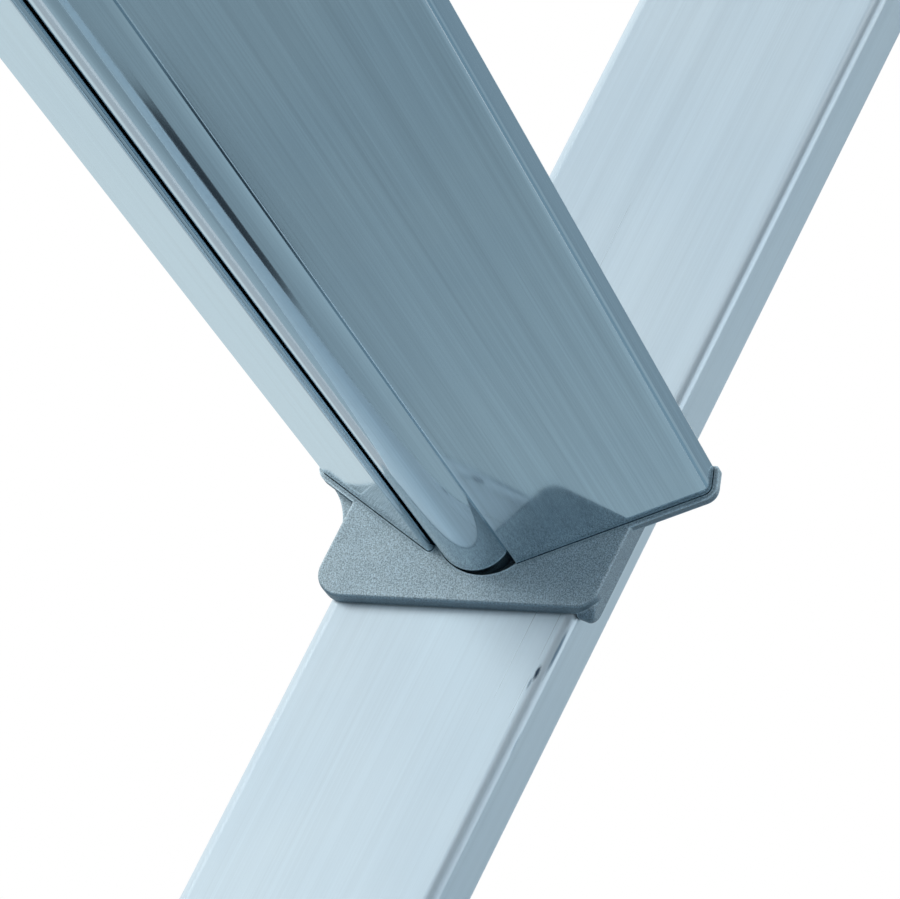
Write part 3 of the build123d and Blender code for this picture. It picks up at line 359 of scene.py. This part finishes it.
# seam sets how pale the painted shade where pieces meet is
STILE_SKIN = {"metallic": SATIN, "streak": 0.032, "relief": 0.03, "seam_shade": 0.25}
TREAD_SKIN = {"metallic": BRIGHT, "streak": 0.065, "relief": 0.05, "seam_shade": 0.95}
TUBE_SKIN = {"metallic": SATIN, "streak": 0.02, "relief": 0.02}
MATERIALS = {
    "front_stile": extruded(
        "front_stile_metal", ALUMINIUM, FRONT_TILT, "Z", STILE_ROUGH, **STILE_SKIN, dark_marks=STILE_DARK_MARKS
    ),
    "rear_stile": extruded("rear_stile_metal", ALUMINIUM, REAR_TILT, "Z", STILE_ROUGH, **STILE_SKIN),
    "tread": extruded("tread_metal", TREAD_METAL, 0.0, "X", TREAD_ROUGH, **TREAD_SKIN),
    "tube": extruded("tube_metal", ALUMINIUM, 0.0, "X", TUBE_ROUGH, **TUBE_SKIN),
    "hoop": drawn("hoop_metal", ALUMINIUM, HOOP_ROUGH),
    "cast": cast("cast_bracket_metal", CAST_METAL, CAST_ROUGH),
    "rivet": steel("rivet_metal", RIVET_METAL),
    "steel": steel("plated_steel", PLATED_STEEL),
    "plastic": moulded("moulded_plastic", DARK_PLASTIC, PLASTIC_ROUGH, PLASTIC_GRAIN, 0.3),
    "bush": moulded("bush_plastic", PALE_PLASTIC, BUSH_ROUGH, BUSH_GRAIN, 0.1),
    "rubber": moulded("foot_rubber", RUBBER, RUBBER_ROUGH, RUBBER_GRAIN, 0.4),
}

# Words in a node's name and the material that each stands for; the first that fits counts
WORDS = (
    ("rivets", "rivet"),
    ("bracket", "cast"),
    ("foot", "rubber"),
    ("pin", "steel"),
    ("screws", "steel"),
    ("head", "plastic"),
    ("cheek", "plastic"),
    ("hook", "plastic"),
    ("bush", "bush"),
    ("front_stile", "front_stile"),
    ("rear_stile", "rear_stile"),
    ("tube", "tube"),
    ("hoop", "hoop"),
)


def material_key(node):
    """Which material a node of the frame takes; treads and the deck share one."""
    for word, key in WORDS:
        if word in node:
            return key
    return "tread"


for name, obj in NODES.items():
    obj.data.materials.clear()
    obj.data.materials.append(MATERIALS[material_key(name)])


def greater(tree, first, second):
    """The greater of two values."""
    node = tree.nodes.new("ShaderNodeMath")
    node.operation = "MAXIMUM"
    tree.links.new(first, node.inputs[0])
    tree.links.new(second, node.inputs[1])
    return node.outputs[0]


def eye_rays(tree):
    """Factor that is 1 for what is seen, straight or by a glossy or clear surface, and 0 for light."""
    path = tree.nodes.new("ShaderNodeLightPath")
    seen = greater(tree, path.outputs["Is Camera Ray"], path.outputs["Is Glossy Ray"])
    return greater(tree, seen, path.outputs["Is Transmission Ray"])


def rectangle(name, width, height):
    """Flat rectangle about its middle, linked to the scene."""
    mesh = bpy.data.meshes.new(name)
    corners = ((-1, -1), (1, -1), (1, 1), (-1, 1))
    mesh.from_pydata([(x * width / 2, y * height / 2, 0) for x, y in corners], [], [(0, 1, 2, 3)])
    obj = bpy.data.objects.new(name, mesh)
    scene.collection.objects.link(obj)
    return obj


# Floor: pale paint that keeps the shadows, with a little glow for the eye
FLOOR_SIZE = 18.0
FLOOR_PAINT = ((0.46, 0.50, 0.53), (0.50, 0.54, 0.57))
FLOOR_GLOW = (0.94, 0.97, 1.0, 1.0)
FLOOR_GLOW_STRENGTH = 0.32
floor = rectangle("floor", FLOOR_SIZE, FLOOR_SIZE)
floor_mat, tree, shader = mesh_material("floor_paint")
speckle = noise(tree, coords(tree), FLOOR_SPECKLE, 4.0, 0.6)
paint = ramp(tree, speckle, [(0.3, FLOOR_PAINT[0]), (0.7, FLOOR_PAINT[1])])
glow = remap(tree, eye_rays(tree), 0.0, FLOOR_GLOW_STRENGTH, 0.0, 1.0)
tree.links.new(paint, shader.inputs["Base Color"])
tree.links.new(glow, shader.inputs["Emission Strength"])
shader.inputs["Roughness"].default_value = FLOOR_ROUGH
shader.inputs["Specular IOR Level"].default_value = 0.0
shader.inputs["Emission Color"].default_value = FLOOR_GLOW
floor.data.materials.append(floor_mat)

# World: white where the camera or a glossy surface sees it, softer as a light
SKY_LIGHT = (0.93, 0.97, 1.0, 1)
SKY_STRENGTH = 0.30
world = bpy.data.worlds.new("studio")
scene.world = world
world.use_nodes = True
tree = world.node_tree
tree.nodes.clear()
out = tree.nodes.new("ShaderNodeOutputWorld")
seen = tree.nodes.new("ShaderNodeBackground")
seen.inputs["Color"].default_value = (1, 1, 1, 1)
light = tree.nodes.new("ShaderNodeBackground")
light.inputs["Color"].default_value = SKY_LIGHT
light.inputs["Strength"].default_value = SKY_STRENGTH
choose = tree.nodes.new("ShaderNodeMixShader")
tree.links.new(eye_rays(tree), choose.inputs[0])
tree.links.new(light.outputs[0], choose.inputs[1])
tree.links.new(seen.outputs[0], choose.inputs[2])
tree.links.new(choose.outputs[0], out.inputs["Surface"])


def lamp(name, place, strength, spread):
    """Broad even lamp that shines from a place towards the joint; the cards stand for it in reflections."""
    data = bpy.data.lights.new(name, "SUN")
    data.energy = strength
    data.angle = math.radians(spread)
    obj = bpy.data.objects.new(name, data)
    obj.location = place
    obj.rotation_euler = (JOINT - Vector(place)).to_track_quat("-Z", "Y").to_euler()
    obj.visible_glossy = False
    scene.collection.objects.link(obj)


lamp("key", (2.2, -2.4, 1.45), 3.1, 26.0)
lamp("fill", (-1.6, 2.4, 1.6), 1.8, 40.0)


def card(name, middle, facing, width, height, glow, fade=None):
    """Softly lit studio card that only shiny surfaces reflect.

    It faces a point. glow is its colour, which may fade to another along the card's X.
    """
    obj = rectangle(name, width, height)
    obj.location = middle
    obj.rotation_euler = (Vector(facing) - Vector(middle)).to_track_quat("Z", "Y").to_euler()
    obj.visible_camera = False
    obj.visible_diffuse = False
    obj.visible_shadow = False
    mat, tree, shader = mesh_material(name + "_cloth")
    shader.inputs["Base Color"].default_value = (0.02, 0.02, 0.02, 1.0)
    shader.inputs["Roughness"].default_value = 0.9
    shader.inputs["Emission Color"].default_value = (*glow, 1.0)
    shader.inputs["Emission Strength"].default_value = 1.0
    if fade:
        tex = tree.nodes.new("ShaderNodeTexCoord")
        across = remap(tree, part_of(tree, tex.outputs["Object"], "X"), 0.0, 1.0, 0.0, -width / 4)
        faded = ramp(tree, across, [(0.0, glow), (1.0, fade)])
        tree.links.new(faded, shader.inputs["Emission Color"])
    obj.data.materials.append(mat)


# Cards that stand round the ladder: name, middle, point they face, width, height and glow
STANDING_CARDS = (
    ("left_low_card", (-2.4, 1.0, 0.31), (0, 1.0, 0.31), 1.8, 0.62, (0.22, 0.33, 0.40)),
    ("left_mid_card", (-2.4, 1.0, 0.88), (0, 1.0, 0.88), 1.8, 0.52, (0.32, 0.42, 0.48)),
    ("left_high_card", (-2.4, 0.6, 1.97), (0, 0.6, 1.97), 2.0, 1.66, (0.22, 0.31, 0.37)),
    ("left_front_card", (-2.4, -1.6, 1.4), (0, -1.6, 1.4), 2.0, 1.6, (0.60, 0.71, 0.755)),
    ("left_front_low_card", (-2.4, -1.6, 0.3), (0, -1.6, 0.3), 2.0, 0.6, (0.46, 0.51, 0.55)),
    ("right_high_card", (2.4, -1.0, 2.0), (0, -1.0, 2.0), 2.0, 1.2, (0.58, 0.63, 0.67)),
    ("right_card", (2.05, 1.6, 0.56), (-0.2, -0.4, 0.56), 3.6, 1.1, (0.1, 0.12, 0.14)),
    ("rear_card", (-0.94, 2.54, 0.36), (-0.2, -0.4, 0.36), 2.9, 0.68, (1.5, 1.62, 1.75)),
    ("right_low_card", (2.2, -1.35, 0.6), (-0.2, -0.4, 0.6), 1.6, 0.6, (1.3, 1.35, 1.35)),
)
# Cards that lie on the floor and face up: name, middle, width, height, glow and what it fades to
LYING_CARDS = (
    ("left_floor_card", (-1.3, -0.35, 0.002), 1.9, 1.9, (0.35, 0.45, 0.505), (0.255, 0.335, 0.38)),
    ("dark_floor_card", (-0.76, -0.387, 0.004), 0.17, 0.13, (0.0, 0.01, 0.02), None),
    ("right_floor_card", (0.70, -0.30, 0.004), 0.80, 0.42, (0.0, 0.02, 0.04), None),
)
for row in STANDING_CARDS:
    card(*row)
for name, middle, width, height, glow, fade in LYING_CARDS:
    card(name, middle, (*middle[:2], 1.0), width, height, glow, fade)

# Camera: set against the joint of the tread and the climber's left stile
CAMERA_OFFSET = Vector((0.8409, 0.2533, -0.3130))
CAMERA_FORWARD = Vector((-0.8967, -0.2872, 0.3367)).normalized()
CAMERA_UP = Vector((0.3620, -0.0385, 0.9314))
FOCAL_PIXELS = 4561.0
IMAGE_WIDTH = 900.0
camera_data = bpy.data.cameras.new("camera")
camera_data.sensor_width = 36.0
camera_data.lens = camera_data.sensor_width * FOCAL_PIXELS / IMAGE_WIDTH
camera_data.clip_start = 0.02
camera = bpy.data.objects.new("camera", camera_data)
right = CAMERA_FORWARD.cross(CAMERA_UP).normalized()
up = right.cross(CAMERA_FORWARD)
turn = Matrix((right, up, -CAMERA_FORWARD)).transposed()
camera.matrix_world = Matrix.Translation(JOINT + CAMERA_OFFSET) @ turn.to_4x4()
scene.collection.objects.link(camera)
scene.camera = camera

scene.view_settings.view_transform = "Standard"
